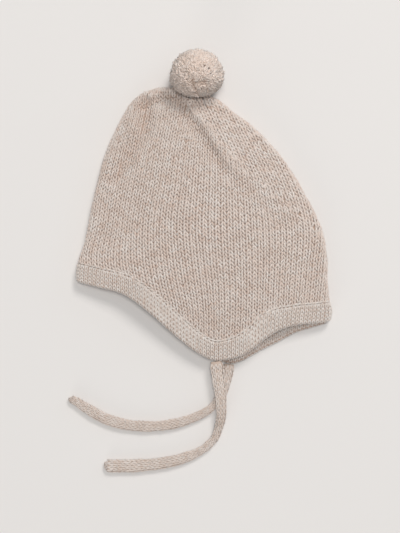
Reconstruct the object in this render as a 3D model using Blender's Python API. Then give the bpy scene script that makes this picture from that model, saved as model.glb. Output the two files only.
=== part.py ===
"""A knitted baby bonnet, lying flat on its side as it is put down.

The fabric is one hollow tube of knitting, closed under the pompom and open at the mouth. It lies with
its far layer flat on the surface and its near layer over it, and each layer ends in an ear flap.
+X is across the bonnet from its left fold to its right fold, +Y points to the pompom and +Z is up.
The origin is on the surface, under the middle of the bonnet without its ties.

Every point of the fabric is found by fabric(around, down). Around goes from 0 at the left fold, over
the near layer, to 1 at the right fold and back under the far layer to 2. Down goes from 0 at the
pompom's seat to 1 at the line across the mouth between the folds, and on past it in the flaps.
"""

import math

import bmesh
import bpy
import numpy as np
from mathutils import Vector

# Fabric
FLAT_WIDTH = 0.1905  # fold to fold at the mouth
CROWN_DEPTH = 0.1564  # pompom's seat to the line across the mouth
LOFT = 0.027  # greatest height of the near layer over the surface
DOME_SHAPE = 1.2  # above 1, the near layer leaves its folds flat and rises to a rounder top
FOLD_RADIUS = 0.0045  # outer radius of the fabric where it folds
WALL = 0.0025  # stocking stitch
BAND_WALL = 0.0036  # folded edge band
BAND_WIDTH = 0.014
BAND_PROUD = 0.0007  # how far the band stands out from the crown
CREASE_HEIGHT = 0.0032
CREASE_STEP = 0.0011  # width of its steep side
CREASE_TAIL = 0.015  # width of its gentle side
VALLEY_DEPTH = 0.0036
VALLEY_WIDTH = 0.006

# Pompom
POMPOM_DIAMETER = 0.0415
POMPOM_OUT = 0.0088  # its middle, from the edge of the crown
POMPOM_SQUASH = 0.72  # share of the radius kept on the side that presses on the crown
POMPOM_PRESS = 0.0006  # how far its own weight flattens it on the surface
LOCK_HEIGHT = 0.0016  # how far each lock of yarn stands out of the ball

# Ties
TIE_WIDTH = 0.0098
TIE_THICKNESS = 0.005
TIE_TIP = 0.4  # share of the width left at the bound-off end

GAP = 0.0003  # between pieces that touch

# Mesh
RINGS = 22
INNER_START = 3  # first ring of the inner wall
NEAR_STEPS = 30
FAR_STEPS = 17
FOLD_PLACES = (0.0, 0.018, 0.036)  # shares of a layer's width where a ring has points at its folds
RING_SPREAD = 1.5  # draws the rings together under the pompom

# Courses of the knitting as the flat bonnet shows them. Shares of CROWN_DEPTH: down, left_down and
# right_down, from the pompom's seat. Shares of FLAT_WIDTH: left_out and right_out, from the same seat.
# height is a share of LOFT.
COURSES = {
    #           down   left_out left_down right_out right_down height
    "seat": (0.000, 0.000, 0.000, 0.000, 0.000, 0.33),
    "gather": (0.022, 0.059, -0.016, 0.043, 0.017, 0.37),
    "top": (0.050, 0.122, -0.023, 0.083, 0.036, 0.45),
    "shoulder": (0.098, 0.185, -0.010, 0.142, 0.094, 0.60),
    "shoulder_low": (0.156, 0.244, 0.031, 0.207, 0.151, 0.72),
    "crown_high": (0.236, 0.293, 0.115, 0.280, 0.237, 0.85),
    "crown_upper": (0.319, 0.331, 0.209, 0.346, 0.333, 0.93),
    "crown_middle": (0.415, 0.364, 0.305, 0.409, 0.456, 0.98),
    "crown_full": (0.513, 0.387, 0.410, 0.463, 0.578, 1.00),
    "crown_lower": (0.607, 0.407, 0.511, 0.496, 0.681, 0.98),
    "side_high": (0.707, 0.423, 0.609, 0.511, 0.796, 0.93),
    "side_low": (0.811, 0.441, 0.719, 0.513, 0.902, 0.86),
    "band_top": (0.904, 0.467, 0.813, 0.520, 0.998, 0.79),
    "band_middle": (0.952, 0.471, 0.859, 0.527, 1.047, 0.75),
    "mouth": (1.000, 0.472, 0.906, 0.523, 1.094, 0.71),
    "flap": (1.150, 0.474, 1.056, 0.521, 1.244, 0.53),
    "flap_tip": (1.300, 0.475, 1.206, 0.521, 1.394, 0.37),
}
COURSE_COLUMNS = ("down", "left_out", "left_down", "right_out", "right_down", "height")

# The rim's drop below the line across the mouth, as shares of CROWN_DEPTH, at each share of the width.
RIM = (
    # across, near_drop, far_drop
    (0.00, 0.000, 0.000),
    (0.10, 0.012, 0.002),
    (0.20, 0.029, 0.014),
    (0.25, 0.059, 0.028),
    (0.31, 0.108, 0.062),
    (0.41, 0.198, 0.150),
    (0.48, 0.250, 0.212),
    (0.54, 0.273, 0.254),
    (0.61, 0.253, 0.278),
    (0.65, 0.228, 0.257),
    (0.69, 0.192, 0.222),
    (0.735, 0.136, 0.182),
    (0.785, 0.087, 0.142),
    (0.86, 0.044, 0.080),
    (0.93, 0.022, 0.040),
    (1.00, 0.000, 0.000),
)
RIM_COLUMNS = ("across", "near_drop", "far_drop")

# Routes of the two soft folds in the near layer: across and down, as the shares above, and the share
# of the fold's full height there.
CREASE = (
    # across, down, height
    (0.36, 0.10, 0.0),
    (0.43, 0.16, 0.8),
    (0.48, 0.23, 1.0),
    (0.55, 0.31, 1.0),
    (0.60, 0.37, 0.9),
    (0.64, 0.41, 0.6),
    (0.69, 0.50, 0.0),
)
VALLEY = (
    # across, down, height
    (0.10, 0.09, 0.3),
    (0.11, 0.16, 0.9),
    (0.12, 0.24, 1.0),
    (0.11, 0.33, 0.8),
    (0.10, 0.42, 0.4),
    (0.09, 0.52, 0.0),
)

# Routes of the ties, in metres, from the flap to the free end
TIE_NEAR = (
    (0.0090, -0.1138, 0.0086),
    (0.0097, -0.1194, 0.0080),
    (0.0108, -0.1276, 0.0079),
    (0.0120, -0.1358, 0.0079),
    (0.0128, -0.1447, 0.0079),
    (0.0128, -0.1530, 0.0072),
    (0.0113, -0.1622, 0.0044),
    (0.0078, -0.1714, 0.0026),
    (-0.0005, -0.1797, 0.0026),
    (-0.0128, -0.1857, 0.0026),
    (-0.0263, -0.1894, 0.0026),
    (-0.0397, -0.1913, 0.0026),
    (-0.0532, -0.1924, 0.0026),
    (-0.0666, -0.1925, 0.0026),
    (-0.0745, -0.1921, 0.0026),
)
TIE_FAR = (
    (0.0186, -0.1163, 0.0026),
    (0.0177, -0.1228, 0.0026),
    (0.0164, -0.1288, 0.0026),
    (0.0144, -0.1363, 0.0026),
    (0.0106, -0.1430, 0.0026),
    (0.0052, -0.1490, 0.0026),
    (-0.0047, -0.1550, 0.0026),
    (-0.0219, -0.1607, 0.0026),
    (-0.0391, -0.1628, 0.0026),
    (-0.0562, -0.1619, 0.0026),
    (-0.0734, -0.1572, 0.0026),
    (-0.0863, -0.1502, 0.0026),
    (-0.0951, -0.1445, 0.0026),
    (-0.1011, -0.1420, 0.0026),
)
TIE_POINTS = 40

# Colours are linear, roughness is that of dry wool
YARN = (0.56, 0.47, 0.40)
BAND_YARN = (0.50, 0.43, 0.38)
TIE_YARN = (0.55, 0.45, 0.38)


def clear_scene():
    for item in list(bpy.data.objects):
        bpy.data.objects.remove(item)


def yarn_material(name, colour):
    material = bpy.data.materials.new(name)
    material.use_nodes = True
    shader = material.node_tree.nodes["Principled BSDF"]
    shader.inputs["Base Color"].default_value = (*colour, 1.0)
    shader.inputs["Roughness"].default_value = 0.95
    shader.inputs["Metallic"].default_value = 0.0
    return material


def smooth_read(places, values, at):
    """Smooth curve through (places, values), read at each place in at."""
    places = np.asarray(places, float)
    values = np.asarray(values, float)
    slopes = np.gradient(values, places)
    at = np.clip(at, places[0], places[-1])
    left = np.clip(np.searchsorted(places, at) - 1, 0, len(places) - 2)
    step = places[left + 1] - places[left]
    t = (at - places[left]) / step
    start = (1 + 2 * t) * (1 - t) ** 2 * values[left] + t * (1 - t) ** 2 * step * slopes[left]
    end = t**2 * (3 - 2 * t) * values[left + 1] - t**2 * (1 - t) * step * slopes[left + 1]
    return start + end


def course(column, down):
    rows = np.array(list(COURSES.values()))
    return smooth_read(rows[:, 0], rows[:, COURSE_COLUMNS.index(column)], down)


def rim(column, across):
    rows = np.array(RIM)
    return smooth_read(rows[:, 0], rows[:, RIM_COLUMNS.index(column)], across)


def across_of(around):
    return np.where(around <= 1, around, 2 - around)


def rim_down(around):
    """Where the rim is, as a share of CROWN_DEPTH from the seat."""
    across = across_of(around)
    drop = np.where(around <= 1, rim("near_drop", across), rim("far_drop", across))
    return 1 + drop


def inside_rim(around, distance):
    """The share of the way down that lies this distance inside the rim, measured square to it."""
    step = 0.01
    ahead = rim_down(np.mod(around + step, 2))
    behind = rim_down(np.mod(around - step, 2))
    slope = (ahead - behind) * CROWN_DEPTH / (2 * step * FLAT_WIDTH)
    return rim_down(around) - distance / CROWN_DEPTH * np.sqrt(1 + slope**2)


def flat_place(across, down):
    """Where a share of the way along a course lies on the surface, from the seat."""
    left_x = -course("left_out", down) * FLAT_WIDTH
    right_x = course("right_out", down) * FLAT_WIDTH
    left_y = -course("left_down", down) * CROWN_DEPTH
    right_y = -course("right_down", down) * CROWN_DEPTH
    sag = down * CROWN_DEPTH + (left_y + right_y) / 2
    x = left_x + (right_x - left_x) * across
    y = left_y + (right_y - left_y) * across - sag * 4 * across * (1 - across)
    return x, y


def route_distance(route, x, y):
    """Signed distance from a fold's route, positive on its right side going up, and the share of
    the fold's height at the nearest place."""
    route = np.array(route)
    stations = np.linspace(0, len(route) - 1, 40)
    rows = [smooth_read(np.arange(len(route)), route[:, i], stations) for i in range(3)]
    line_x, line_y = flat_place(rows[0], rows[1])
    away_x = x[..., None] - line_x
    away_y = y[..., None] - line_y
    nearest = np.argmin(away_x**2 + away_y**2, axis=-1)
    near_x = np.take_along_axis(away_x, nearest[..., None], -1)[..., 0]
    near_y = np.take_along_axis(away_y, nearest[..., None], -1)[..., 0]
    ahead_x = np.gradient(line_x)[nearest]
    ahead_y = np.gradient(line_y)[nearest]
    side = (near_y * ahead_x - near_x * ahead_y) / np.hypot(ahead_x, ahead_y)
    past_end = np.hypot(near_x, near_y) - np.abs(side)
    fade = np.exp(-((past_end / VALLEY_WIDTH) ** 2))
    return side, rows[2][nearest] * fade


def folds(x, y):
    """Height that the crease adds to the near layer, and the valley takes from it."""
    side, share = route_distance(CREASE, x, y)
    rise = 1 / (1 + np.exp(-side / CREASE_STEP))
    fall = np.exp(-np.maximum(side, 0) / CREASE_TAIL)
    crease = CREASE_HEIGHT * share * rise * fall
    side, share = route_distance(VALLEY, x, y)
    valley = VALLEY_DEPTH * share * np.exp(-((side / VALLEY_WIDTH) ** 2))
    return crease - valley


def fabric(around, down):
    """The outer surface of the fabric, in metres from the pompom's seat."""
    around, down = np.broadcast_arrays(np.mod(around, 2.0), np.asarray(down, float))
    across = across_of(around)
    left_x, left_y = flat_place(0.0, down)
    right_x, right_y = flat_place(1.0, down)
    width = np.maximum(np.hypot(right_x - left_x, right_y - left_y), 1e-6)
    below_seat = np.minimum(down * CROWN_DEPTH / FOLD_RADIUS, 1)
    radius = np.minimum(FOLD_RADIUS * np.sqrt(1 - (1 - below_seat) ** 2), width / 2)
    # The walk along the course goes round a quarter circle at each fold and straight between them.
    walk = across * (width + (math.pi - 2) * radius)
    from_fold = np.minimum(walk, width + (math.pi - 2) * radius - walk)
    turn = np.minimum(from_fold / np.maximum(radius, 1e-9), math.pi / 2)
    inward = radius * (1 - np.cos(turn)) + np.maximum(from_fold - radius * math.pi / 2, 0)
    lift = radius * np.sin(turn)
    share = np.where(across <= 0.5, inward / width, 1 - inward / width)
    x, y = flat_place(share, down)
    dome = (4 * share * (1 - share)) ** DOME_SHAPE
    loft = np.maximum(course("height", down) * LOFT - 2 * FOLD_RADIUS, 0)
    near_z = FOLD_RADIUS + lift + dome * loft + folds(x, y) * np.minimum(lift / FOLD_RADIUS, 1) ** 2
    return np.stack([x, y, np.where(around <= 1, near_z, FOLD_RADIUS - lift)], axis=-1)


def outward(around, down):
    """Unit normal of the fabric, pointing out of the bonnet."""
    step = 0.003
    along = fabric(around + step, down) - fabric(around - step, down)
    fall = fabric(around, down + step) - fabric(around, down - step)
    normal = np.cross(fall, along)
    return normal / np.linalg.norm(normal, axis=-1, keepdims=True)


def around_steps():
    """Places of a ring's points, closer together at both folds."""
    first = np.array(FOLD_PLACES)
    last = 1 - first[:0:-1]
    layers = []
    for steps in (NEAR_STEPS, FAR_STEPS):
        between = np.linspace(first[-1], last[0], steps)[1:-1]
        layers.append(np.concatenate([first, between, last]))
    return np.concatenate([layers[0], 1 + layers[1]])


def loop_object(name, rings, start, end, material):
    """One closed mesh from rings of points. start and end are a point that closes that side, or None
    where the last ring joins the first."""
    count = len(rings[0])
    points = [Vector(p) for ring in rings for p in ring]
    faces = []
    pairs = [(i, i + 1) for i in range(len(rings) - 1)]
    if start is None:
        pairs.append((len(rings) - 1, 0))
    for upper, lower in pairs:
        for i in range(count):
            j = (i + 1) % count
            faces.append((upper * count + i, lower * count + i, lower * count + j, upper * count + j))
    if start is not None:
        points += [Vector(start), Vector(end)]
        last = (len(rings) - 1) * count
        for i in range(count):
            j = (i + 1) % count
            faces.append((len(points) - 2, i, j))
            faces.append((len(points) - 1, last + j, last + i))
    mesh = bpy.data.meshes.new(name)
    mesh.from_pydata(points, [], faces)
    turn_outward(mesh)
    mesh.materials.append(material)
    mesh.shade_smooth()
    made = bpy.data.objects.new(name, mesh)
    bpy.context.collection.objects.link(made)
    return made


def turn_outward(mesh):
    bm = bmesh.new()
    bm.from_mesh(mesh)
    bmesh.ops.recalc_face_normals(bm, faces=bm.faces)
    bm.to_mesh(mesh)
    bm.free()


def crown_rings(around, first, offset):
    """Rings of the crown from ring number first down to the seam, moved out by offset."""
    end = inside_rim(around, BAND_WIDTH + GAP)
    rings = []
    for number in range(first, RINGS + 1):
        down = end * (number / RINGS) ** RING_SPREAD
        rings.append(fabric(around, down) + offset * outward(around, down))
    return rings


def make_crown(material):
    around = around_steps()
    outer = crown_rings(around, 1, 0.0)
    inner = crown_rings(around, INNER_START, -WALL)
    seat = (0.0, 0.0, FOLD_RADIUS)
    inner_top = np.mean(inner[0], axis=0)
    return loop_object("crown", outer + inner[::-1], seat, inner_top, material)


def make_seat_cutter():
    """The crown without its hollow, one gap larger all round. It shapes the pompom's underside."""
    around = around_steps()
    rings = crown_rings(around, 1, GAP)
    seat = (0.0, GAP, FOLD_RADIUS)
    bottom = np.mean(rings[-1], axis=0)
    cutter = loop_object("seat_cutter", rings, seat, bottom, None)
    cutter.hide_render = True
    cutter.display_type = "WIRE"
    return cutter


def make_band(material):
    around = around_steps()
    top = inside_rim(around, BAND_WIDTH)
    bottom = rim_down(around)
    # share of the band's width from the seam, and share of its thickness from its inner side
    section = ((0.03, 0), (0, 0.9), (0.12, 1), (0.5, 1), (0.86, 0.95), (1, 0.5), (0.9, 0.05), (0.45, 0))
    rings = []
    for width_share, thickness_share in section:
        down = top + (bottom - top) * width_share
        normal = outward(around, down)
        # On the surface the band is pressed flat, so it stands proud only where it faces up.
        proud = BAND_PROUD * (1 + normal[:, 2:]) / 2
        offset = proud - BAND_WALL * (1 - thickness_share)
        rings.append(fabric(around, down) + offset * normal)
    return loop_object("edge_band", rings, None, None, material)


def make_pompom(material, seat_cutter):
    """A ball of yarn locks: one raised lock on each cell of a ball, all fused."""
    radius = POMPOM_DIAMETER / 2
    ball = bmesh.new()
    bmesh.ops.create_icosphere(ball, subdivisions=3, radius=radius - LOCK_HEIGHT)
    cells = bmesh.new()
    middles = {f: cells.verts.new(f.calc_center_median()) for f in ball.faces}
    for vert in ball.verts:
        ring = sorted(
            vert.link_faces,
            key=lambda f: turn_about(vert, f.calc_center_median()),
        )
        cells.faces.new([middles[f] for f in ring])
    ball.free()
    bmesh.ops.recalc_face_normals(cells, faces=cells.faces)
    bmesh.ops.inset_individual(
        cells, faces=cells.faces, thickness=LOCK_HEIGHT * 0.6, depth=LOCK_HEIGHT, use_even_offset=True
    )
    lowest = min(vert.co.z for vert in cells.verts)
    middle = Vector((0.0, POMPOM_OUT, -lowest - POMPOM_PRESS))
    for vert in cells.verts:
        if vert.co.y < 0:
            vert.co.y *= POMPOM_SQUASH
        vert.co += middle
        vert.co.z = max(vert.co.z, 0.0)
    mesh = bpy.data.meshes.new("pompom")
    cells.to_mesh(mesh)
    cells.free()
    mesh.materials.append(material)
    mesh.shade_smooth()
    made = bpy.data.objects.new("pompom", mesh)
    bpy.context.collection.objects.link(made)
    cut = made.modifiers.new("seat", "BOOLEAN")
    cut.operation = "DIFFERENCE"
    cut.object = seat_cutter
    return made


def turn_about(vert, point):
    """Angle of a point round a ball's radius through vert."""
    axis = vert.co.normalized()
    side = axis.orthogonal().normalized()
    other = axis.cross(side)
    return math.atan2(point.dot(other), point.dot(side))


def make_tie(name, route, material):
    """A flat knitted cord along its route, with a rounded end."""
    route = np.array(route)
    stations = np.linspace(0, len(route) - 1, TIE_POINTS)
    flatness = TIE_THICKNESS / TIE_WIDTH
    curve = bpy.data.curves.new(name, "CURVE")
    curve.dimensions = "3D"
    curve.bevel_depth = TIE_WIDTH / 2
    curve.bevel_resolution = 3
    curve.use_fill_caps = True
    spline = curve.splines.new("POLY")
    spline.points.add(TIE_POINTS - 1)
    for axis in range(3):
        line = smooth_read(np.arange(len(route)), route[:, axis], stations)
        for point, value in zip(spline.points, line):
            point.co[axis] = value / flatness if axis == 2 else value
    for point in spline.points:
        point.co[3] = 1.0
    spline.points[-1].radius = TIE_TIP
    curve.materials.append(material)
    made = bpy.data.objects.new(name, curve)
    made.scale.z = flatness
    bpy.context.collection.objects.link(made)
    return made


def centre_on_surface(pieces):
    """Moves the bonnet so that the middle of its box is over the origin."""
    bpy.context.view_layer.update()
    corners = np.concatenate([[piece.matrix_world @ v.co for v in piece.data.vertices] for piece in pieces])
    middle = (corners.min(axis=0) + corners.max(axis=0)) / 2
    return Vector((-middle[0], -middle[1], 0.0))


def main():
    clear_scene()
    yarn = yarn_material("oatmeal_yarn", YARN)
    band_yarn = yarn_material("oatmeal_band_yarn", BAND_YARN)
    tie_yarn = yarn_material("oatmeal_tie_yarn", TIE_YARN)
    crown = make_crown(yarn)
    band = make_band(band_yarn)
    cutter = make_seat_cutter()
    pompom = make_pompom(yarn, cutter)
    shift = centre_on_surface([crown, band, pompom])
    for piece in (crown, band, cutter, pompom):
        piece.location = shift
    make_tie("tie_near", TIE_NEAR, tie_yarn)
    make_tie("tie_far", TIE_FAR, tie_yarn)


main()
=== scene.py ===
# %% [markdown]
# # A knitted baby bonnet
# The bonnet lies flat and empty on its side: a stocking-stitch cap with two ear flaps, a folded edge band,
# a cut yarn pompom and two knitted ties. This lesson dresses its plain solids with real stitches.
# Each visible loop of yarn is a small shape of its own, and Geometry Nodes repeats it over the fabric.

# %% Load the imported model
import math

import bmesh
import bpy
import numpy as np
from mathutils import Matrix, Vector


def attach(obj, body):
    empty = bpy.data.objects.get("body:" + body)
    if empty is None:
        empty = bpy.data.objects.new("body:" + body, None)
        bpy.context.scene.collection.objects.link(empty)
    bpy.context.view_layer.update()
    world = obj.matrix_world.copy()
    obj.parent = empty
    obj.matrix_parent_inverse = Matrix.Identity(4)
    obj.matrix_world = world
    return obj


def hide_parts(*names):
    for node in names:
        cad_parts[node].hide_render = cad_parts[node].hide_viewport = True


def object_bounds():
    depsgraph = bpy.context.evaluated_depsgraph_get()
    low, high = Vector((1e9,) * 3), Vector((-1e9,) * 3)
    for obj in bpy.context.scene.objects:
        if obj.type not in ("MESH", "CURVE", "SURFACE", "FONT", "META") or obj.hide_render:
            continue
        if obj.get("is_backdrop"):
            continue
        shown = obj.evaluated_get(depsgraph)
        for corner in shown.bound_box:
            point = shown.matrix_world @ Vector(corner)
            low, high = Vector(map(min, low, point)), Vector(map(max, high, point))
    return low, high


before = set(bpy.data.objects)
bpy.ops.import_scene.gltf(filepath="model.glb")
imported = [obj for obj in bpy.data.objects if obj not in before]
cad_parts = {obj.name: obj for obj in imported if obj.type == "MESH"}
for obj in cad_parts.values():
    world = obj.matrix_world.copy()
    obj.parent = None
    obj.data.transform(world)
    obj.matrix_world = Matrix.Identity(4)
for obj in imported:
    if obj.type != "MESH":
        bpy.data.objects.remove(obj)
cad_box = [list(corner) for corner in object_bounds()]
print("nodes", sorted(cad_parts))
print("box in mm", [[round(v * 1000, 1) for v in corner] for corner in cad_box])

# %% [markdown]
# ## Camera
# The photograph looks straight down on the bonnet. A camera that isn't turned at all looks down with +Y up in
# the picture, so only its place and its lens are set. Its height makes one pixel 0.75 mm on the surface.

# %% Make the camera
CAMERA_PLACE = (-0.0031, -0.0432, 0.944)
CAMERA_LENS = 85


def put_in_scene(name, data):
    made = bpy.data.objects.new(name, data)
    bpy.context.scene.collection.objects.link(made)
    return made


camera_data = bpy.data.cameras.new("camera_above")
camera_data.lens = CAMERA_LENS
camera_data.clip_start = 0.01
camera = put_in_scene("camera_above", camera_data)
camera.location = CAMERA_PLACE
bpy.context.scene.camera = camera
print("camera", CAMERA_PLACE, "lens", CAMERA_LENS)

# %% [markdown]
# ## Wool
# The yarn is heathered: pale fibres with a few darker and pinker ones, matt, and soft at a glancing angle.
# One material function makes every yarn here. It mixes three noises of different sizes with a tone that each
# stitch carries, and darkens the parts of a loop that tuck under its neighbours: painted shade. A tone from 0
# to 1 runs from the usual colour to the pale one, and below 0 it goes to the flecks; in the valley fold and
# the pompom's clefts the tone is lowered as painted shade. The bump is the twist of the plies, with loose
# fibres over it.

# %% Make the yarn materials
def fill(tree, socket, value):
    """Links a socket to another one, or gives it a plain value."""
    if isinstance(value, bpy.types.NodeSocket):
        tree.links.new(value, socket)
    else:
        socket.default_value = value


def add_node(tree, kind, *values, **settings):
    """One node. Values fill its inputs in order. Settings are its properties, or inputs by name."""
    node = tree.nodes.new(kind)
    for name, value in settings.items():
        if hasattr(node, name):
            setattr(node, name, value)
        else:
            fill(tree, node.inputs[name.replace("_", " ")], value)
    for socket, value in zip(node.inputs, values):
        fill(tree, socket, value)
    return node


def mix_colour(tree, factor, first, second):
    """Mixes two colours, each a socket or a linear red, green and blue."""
    node = add_node(tree, "ShaderNodeMix", data_type="RGBA")
    fill(tree, node.inputs[0], factor)
    for place, value in ((6, first), (7, second)):
        fill(tree, node.inputs[place], (*value, 1) if isinstance(value, tuple) else value)
    return node.outputs[2]


def ramp(tree, value, low, high, to_low=0.0, to_high=1.0):
    """Reads a value between low and high as one between to_low and to_high, with soft ends."""
    ends = {"From_Min": low, "From_Max": high, "To_Min": to_low, "To_Max": to_high}
    node = add_node(tree, "ShaderNodeMapRange", interpolation_type="SMOOTHSTEP", Value=value, **ends)
    return node.outputs["Result"]


def noise(tree, place, scale, detail=2.0, roughness=0.5):
    node = add_node(tree, "ShaderNodeTexNoise", Vector=place, Scale=scale, Detail=detail, Roughness=roughness)
    return node.outputs["Fac"]


def bands(tree, place, direction, scale, distortion=1.0):
    node = add_node(tree, "ShaderNodeTexWave", place, scale, distortion, bands_direction=direction)
    return node.outputs["Fac"]


def new_material(name, roughness, specular, sheen=0.0):
    """A matt material, its tree and its shader."""
    material = bpy.data.materials.new(name)
    material.use_nodes = True
    shader = material.node_tree.nodes["Principled BSDF"]
    shader.inputs["Roughness"].default_value = roughness
    shader.inputs["Specular IOR Level"].default_value = specular
    shader.inputs["Sheen Weight"].default_value = sheen
    return material, material.node_tree, shader


def join_surface(tree, shader, colour, height, strength, distance):
    """Gives the shader its colour, and bumps as deep as the distance in metres."""
    bump = add_node(tree, "ShaderNodeBump", Strength=strength, Distance=distance, Height=height)
    tree.links.new(colour, shader.inputs["Base Color"])
    tree.links.new(bump.outputs["Normal"], shader.inputs["Normal"])


def yarn_material(name, pale, mid, fleck, shade, sheen=0.35):
    """Heathered wool. Colours are linear: the pale fibres, the usual tone, the flecks, and painted shade for
    the deep places.
    """
    material, tree, shader = new_material(name, 0.92, 0.2, sheen)
    shader.inputs["Sheen Roughness"].default_value = 0.5
    shader.inputs["Sheen Tint"].default_value = (0.78, 0.94, 1.0, 1)
    place = add_node(tree, "ShaderNodeTexCoord").outputs["Object"]
    tone = add_node(tree, "ShaderNodeAttribute", attribute_name="tone").outputs["Fac"]
    crest = add_node(tree, "ShaderNodeAttribute", attribute_name="crest").outputs["Fac"]
    strand = add_node(tree, "ShaderNodeUVMap", uv_map="strand").outputs["UV"]

    along_rows = add_node(tree, "ShaderNodeMapping", Vector=place, Scale=(0.4, 1.6, 1.0)).outputs["Vector"]
    broad = ramp(tree, noise(tree, along_rows, 80, 3), 0.4, 0.62)
    colour = mix_colour(tree, tone, mid, pale)
    colour = mix_colour(tree, ramp(tree, tone, -1.0, 0.0, 1.0, 0.0), colour, fleck)
    colour = mix_colour(tree, ramp(tree, noise(tree, place, 330, 3), 0.5, 0.62, 0, 0.6), colour, pale)
    colour = mix_colour(tree, ramp(tree, noise(tree, place, 520, 2), 0.56, 0.66, 0, 0.5), colour, fleck)
    colour = mix_colour(tree, ramp(tree, broad, 0, 1, 0, 0.3), colour, mid)
    # Painted shade: the low parts of each loop, read from its crest, lean to the shade colour.
    colour = mix_colour(tree, ramp(tree, crest, 0.0, 0.6, 0.7, 0.0), colour, shade)

    twist = bands(tree, strand, "DIAGONAL", 2.4, 1.2)
    fibres = noise(tree, place, 2600, 3, 0.6)
    height = add_node(tree, "ShaderNodeMath", twist, 0.6, fibres, operation="MULTIPLY_ADD").outputs[0]
    join_surface(tree, shader, colour, height, 0.6, 0.0003)
    return material


PALE = (0.87, 0.775, 0.715)
MID = (0.78, 0.625, 0.54)
FLECK = (0.64, 0.465, 0.375)
# painted shade for the low parts of the loops
PAINTED_SHADE = (0.50, 0.355, 0.285)

crown_yarn = yarn_material("oatmeal_yarn", PALE, MID, FLECK, PAINTED_SHADE)
band_yarn = yarn_material("oatmeal_band_yarn", (0.87, 0.80, 0.75), (0.78, 0.67, 0.60), FLECK, PAINTED_SHADE)
tie_yarn = yarn_material(
    "oatmeal_tie_yarn", (0.88, 0.79, 0.735), (0.77, 0.64, 0.56), (0.66, 0.49, 0.40), (0.56, 0.405, 0.325)
)
pompom_yarn = yarn_material(
    "cut_pompom_yarn", (0.92, 0.80, 0.73), (0.86, 0.71, 0.62), (0.76, 0.575, 0.47), (0.76, 0.59, 0.49), 0.25
)
print("yarns", [m.name for m in (crown_yarn, band_yarn, tie_yarn, pompom_yarn)])

# %% [markdown]
# ## The cloth under the stitches
# Behind the loops that stand out, knitting is a dense cloth. Its outside shows only as dark dots between the
# stitches, and its inside shows rows of small purl bumps. The outside is coloured darker than the yarn, and
# the
# low places of every cloth darker still: painted shade in the gaps and hollows. Both sides read a map in
# which one unit across is one stitch and one unit up is one row, so that the bumps keep the size of the
# stitches.

# %% Make the cloth materials
BAND_A_UNIT = 0.314  # the scale at which a wave texture has one band a unit


def cloth_material(name, colour, low, bump_depth):
    """Dense knitted cloth. Colours are linear: the cloth, and painted shade for its low places."""
    material, tree, shader = new_material(name, 0.95, 0.15, 0.2)
    place = add_node(tree, "ShaderNodeTexCoord").outputs["Object"]
    cloth = add_node(tree, "ShaderNodeUVMap", uv_map="strand").outputs["UV"]
    rows, wales = [bands(tree, cloth, direction, BAND_A_UNIT) for direction in "YX"]
    both = add_node(tree, "ShaderNodeMath", rows, wales, operation="MULTIPLY").outputs[0]
    fibres = noise(tree, place, 1800, 3)
    height = add_node(tree, "ShaderNodeMath", fibres, 0.5, both, operation="MULTIPLY_ADD").outputs[0]
    mixed = mix_colour(tree, ramp(tree, noise(tree, place, 500, 3), 0.4, 0.7), low, colour)
    # Painted shade: the low places of the bumps lean to the low colour.
    mixed = mix_colour(tree, ramp(tree, both, 0.0, 0.6, 0.7, 0.0), mixed, low)
    join_surface(tree, shader, mixed, height, 0.8, bump_depth)
    return material


# The outside cloth is coloured darker than the yarn: painted shade in the gaps between the stitches.
under_cloth_painted_shade = cloth_material("under_cloth_painted_shade", (0.63, 0.475, 0.40), (0.51, 0.37, 0.30), 0.0004)
purl_side = cloth_material("purl_side", (0.74, 0.625, 0.54), (0.45, 0.335, 0.26), 0.0012)
tie_cloth = cloth_material("tie_cloth", (0.70, 0.575, 0.495), (0.58, 0.455, 0.38), 0.0004)
print("cloths", under_cloth_painted_shade.name, purl_side.name, tie_cloth.name)

# %% [markdown]
# ## One stitch
# A knit stitch shows as a V: two plump legs that come up from behind the stitch below, lean apart and tuck
# under the one above. Each leg is a strand swept along a short path, with few faces because it is repeated
# thousands of times. Across is in stitch widths and up is in row heights, so one shape fits every place.

# %% Sweep a strand
def tube(rings, sides, round_step, along_step):
    """Faces of a closed tube of rings, and their map: round and along in these steps, a corner each."""
    faces, corners = [], []
    for i in range(rings - 1):
        for j in range(sides):
            k = (j + 1) % sides
            faces.append((i * sides + j, i * sides + k, (i + 1) * sides + k, (i + 1) * sides + j))
            corners += [(j, i), (j + 1, i), (j + 1, i + 1), (j, i + 1)]
    faces.append(tuple(range(sides - 1, -1, -1)))
    corners += [(j, 0) for j in range(sides - 1, -1, -1)]
    faces.append(tuple((rings - 1) * sides + j for j in range(sides)))
    corners += [(j, rings) for j in range(sides)]
    return faces, [(j * round_step, i * along_step) for j, i in corners]


def swept(line, radii, sides, flat=1.0, up=(0, 0, 1)):
    """A strand along a line. Returns its points, faces and map."""
    line = np.array(line, float)
    ahead = np.gradient(line, axis=0)
    ahead /= np.linalg.norm(ahead, axis=1, keepdims=True)
    side = np.cross(ahead, np.array(up, float))
    side /= np.linalg.norm(side, axis=1, keepdims=True)
    over = np.cross(side, ahead)
    points = []
    for i, radius in enumerate(radii):
        for j in range(sides):
            angle = 2 * math.pi * j / sides
            points.append(line[i] + radius * (math.cos(angle) * side[i] + flat * math.sin(angle) * over[i]))
    faces, corners = tube(len(radii), sides, 1 / sides, 1)
    return points, faces, corners


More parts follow.
